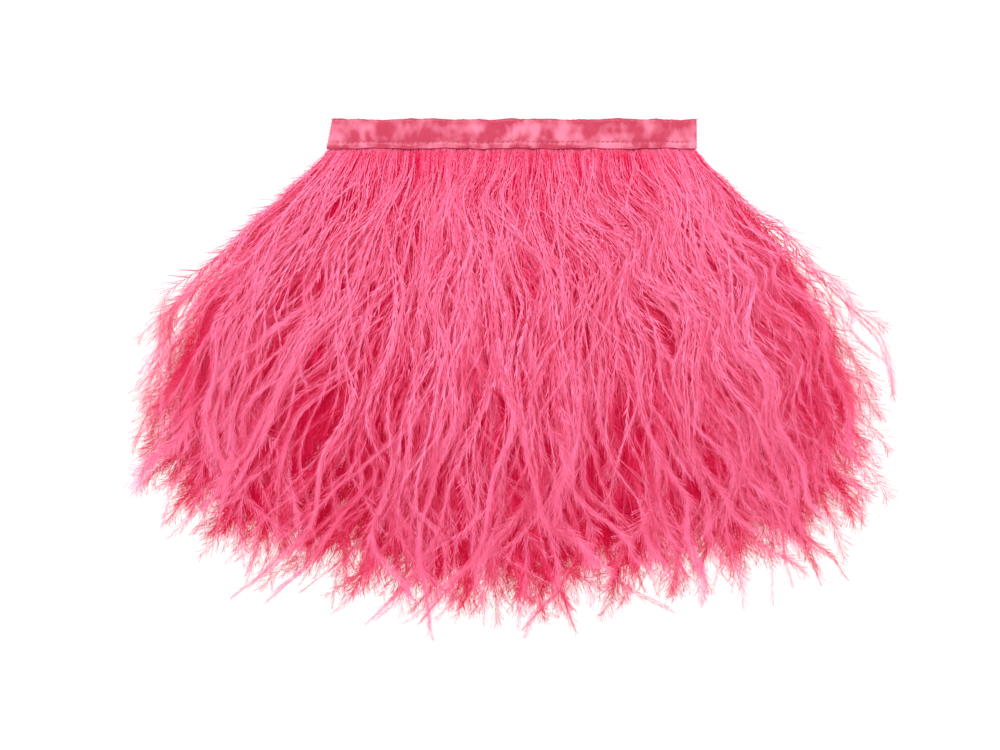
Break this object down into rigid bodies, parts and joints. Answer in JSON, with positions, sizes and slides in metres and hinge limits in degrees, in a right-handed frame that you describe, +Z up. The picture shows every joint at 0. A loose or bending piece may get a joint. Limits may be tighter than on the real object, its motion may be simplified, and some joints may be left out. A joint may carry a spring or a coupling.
{
  "type": "ostrich feather fringe trim",
  "caption": "Cut length of two-ply ostrich feather fringe on a folded, topstitched satin header; the hot pink flues hang in locks that swing and lift at the seam.",
  "frame": {"origin": "centre of the header's flat back face, which is sewn or glued to what holds it", "axes": "+X along the header, +Y out of the header's back face (the front faces -Y), +Z up, so the fringe hangs towards -Z"},
  "size_m": [0.2282, 0.0212, 0.1614],
  "materials": {
    "satin": "satin",
    "thread": "satin",
    "root": "matte",
    "flue": "matte"
  },
  "bodies": {
    "header": {"satin_ribbon": "satin", "front_root_strip": "root", "back_root_strip": "root", "front_stringing_cord": "thread", "back_stringing_cord": "thread", "needle_thread": "thread", "bobbin_thread": "thread"},
    "back_lock_01": {"back_lock_01": "flue"},
    "back_lock_02": {"back_lock_02": "flue"},
    "back_lock_03": {"back_lock_03": "flue"},
    "back_lock_04": {"back_lock_04": "flue"},
    "back_lock_05": {"back_lock_05": "flue"},
    "back_lock_06": {"back_lock_06": "flue"},
    "back_lock_07": {"back_lock_07": "flue"},
    "back_lock_08": {"back_lock_08": "flue"},
    "back_lock_09": {"back_lock_09": "flue"},
    "back_lock_10": {"back_lock_10": "flue"},
    "front_lock_01": {"front_lock_01": "flue"},
    "front_lock_02": {"front_lock_02": "flue"},
    "front_lock_03": {"front_lock_03": "flue"},
    "front_lock_04": {"front_lock_04": "flue"},
    "front_lock_05": {"front_lock_05": "flue"},
    "front_lock_06": {"front_lock_06": "flue"},
    "front_lock_07": {"front_lock_07": "flue"},
    "front_lock_08": {"front_lock_08": "flue"},
    "front_lock_09": {"front_lock_09": "flue"},
    "front_lock_10": {"front_lock_10": "flue"}
  },
  "joints": [
    {"name": "back_lock_01_swing", "type": "hinge", "parent": "header", "child": "back_lock_01", "pos_m": [0, -0.001, -0.00495], "axis": [-1, 0, 0], "range_deg": [-45, 45]},
    {"name": "front_lock_01_lift", "type": "hinge", "parent": "back_lock_01", "child": "front_lock_01", "pos_m": [0, -0.001, -0.00495], "axis": [-1, 0, 0], "range_deg": [0, 30]},
    {"name": "back_lock_02_swing", "type": "hinge", "parent": "header", "child": "back_lock_02", "pos_m": [0, -0.001, -0.00495], "axis": [-1, 0, 0], "range_deg": [-45, 45]},
    {"name": "front_lock_02_lift", "type": "hinge", "parent": "back_lock_02", "child": "front_lock_02", "pos_m": [0, -0.001, -0.00495], "axis": [-1, 0, 0], "range_deg": [0, 30]},
    {"name": "back_lock_03_swing", "type": "hinge", "parent": "header", "child": "back_lock_03", "pos_m": [0, -0.001, -0.00495], "axis": [-1, 0, 0], "range_deg": [-45, 45]},
    {"name": "front_lock_03_lift", "type": "hinge", "parent": "back_lock_03", "child": "front_lock_03", "pos_m": [0, -0.001, -0.00495], "axis": [-1, 0, 0], "range_deg": [0, 30]},
    {"name": "back_lock_04_swing", "type": "hinge", "parent": "header", "child": "back_lock_04", "pos_m": [0, -0.001, -0.00495], "axis": [-1, 0, 0], "range_deg": [-45, 45]},
    {"name": "front_lock_04_lift", "type": "hinge", "parent": "back_lock_04", "child": "front_lock_04", "pos_m": [0, -0.001, -0.00495], "axis": [-1, 0, 0], "range_deg": [0, 30]},
    {"name": "back_lock_05_swing", "type": "hinge", "parent": "header", "child": "back_lock_05", "pos_m": [0, -0.001, -0.00495], "axis": [-1, 0, 0], "range_deg": [-45, 45]},
    {"name": "front_lock_05_lift", "type": "hinge", "parent": "back_lock_05", "child": "front_lock_05", "pos_m": [0, -0.001, -0.00495], "axis": [-1, 0, 0], "range_deg": [0, 30]},
    {"name": "back_lock_06_swing", "type": "hinge", "parent": "header", "child": "back_lock_06", "pos_m": [0, -0.001, -0.00495], "axis": [-1, 0, 0], "range_deg": [-45, 45]},
    {"name": "front_lock_06_lift", "type": "hinge", "parent": "back_lock_06", "child": "front_lock_06", "pos_m": [0, -0.001, -0.00495], "axis": [-1, 0, 0], "range_deg": [0, 30]},
    {"name": "back_lock_07_swing", "type": "hinge", "parent": "header", "child": "back_lock_07", "pos_m": [0, -0.001, -0.00495], "axis": [-1, 0, 0], "range_deg": [-45, 45]},
    {"name": "front_lock_07_lift", "type": "hinge", "parent": "back_lock_07", "child": "front_lock_07", "pos_m": [0, -0.001, -0.00495], "axis": [-1, 0, 0], "range_deg": [0, 30]},
    {"name": "back_lock_08_swing", "type": "hinge", "parent": "header", "child": "back_lock_08", "pos_m": [0, -0.001, -0.00495], "axis": [-1, 0, 0], "range_deg": [-45, 45]},
    {"name": "front_lock_08_lift", "type": "hinge", "parent": "back_lock_08", "child": "front_lock_08", "pos_m": [0, -0.001, -0.00495], "axis": [-1, 0, 0], "range_deg": [0, 30]},
    {"name": "back_lock_09_swing", "type": "hinge", "parent": "header", "child": "back_lock_09", "pos_m": [0, -0.001, -0.00495], "axis": [-1, 0, 0], "range_deg": [-45, 45]},
    {"name": "front_lock_09_lift", "type": "hinge", "parent": "back_lock_09", "child": "front_lock_09", "pos_m": [0, -0.001, -0.00495], "axis": [-1, 0, 0], "range_deg": [0, 30]},
    {"name": "back_lock_10_swing", "type": "hinge", "parent": "header", "child": "back_lock_10", "pos_m": [0, -0.001, -0.00495], "axis": [-1, 0, 0], "range_deg": [-45, 45]},
    {"name": "front_lock_10_lift", "type": "hinge", "parent": "back_lock_10", "child": "front_lock_10", "pos_m": [0, -0.001, -0.00495], "axis": [-1, 0, 0], "range_deg": [0, 30]}
  ]
}
